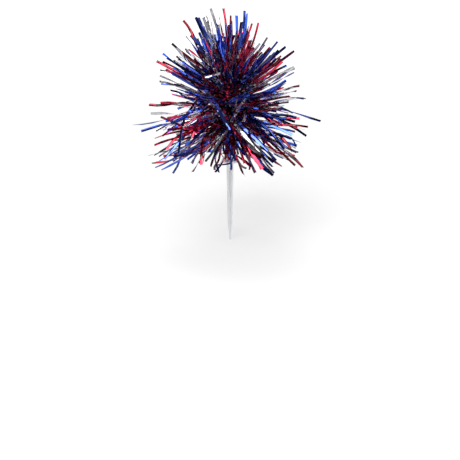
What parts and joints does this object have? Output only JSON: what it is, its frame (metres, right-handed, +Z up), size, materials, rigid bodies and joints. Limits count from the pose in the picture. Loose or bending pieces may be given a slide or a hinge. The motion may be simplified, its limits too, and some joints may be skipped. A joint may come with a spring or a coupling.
{
  "type": "cupcake pick",
  "caption": "Foil burst decoration pick: red, blue and silver metallised strips standing out all round a rod on a pointed plastic stake with a stop disc.",
  "frame": {"origin": "on the rod's axis, in the plane of the stop disc's underside, which lies on the icing", "axes": "+Z up along the rod towards the burst; -Y towards the viewer of the pictured side, +X to the viewer's right"},
  "size_m": [0.1471, 0.1202, 0.1869],
  "materials": {
    "stake_plastic": "milky clear moulded styrene, glossy",
    "rod_plastic": "milky clear extruded rod, glossy",
    "white_plastic": "white moulded, satin gloss",
    "tape": "double-sided adhesive tape, dull",
    "blue_foil": "metallised film, mirror bright, royal blue",
    "red_foil": "metallised film, mirror bright, deep red",
    "silver_foil": "metallised film, mirror bright, silver"
  },
  "bodies": {
    "root": {"pick_stake": "stake_plastic", "core_rod": "rod_plastic", "lower_collar": "white_plastic", "adhesive_tape": "tape", "top_cap": "white_plastic", "blue_foil_fringe": "blue_foil", "red_foil_fringe": "red_foil", "silver_foil_fringe": "silver_foil"}
  },
  "joints": []
}
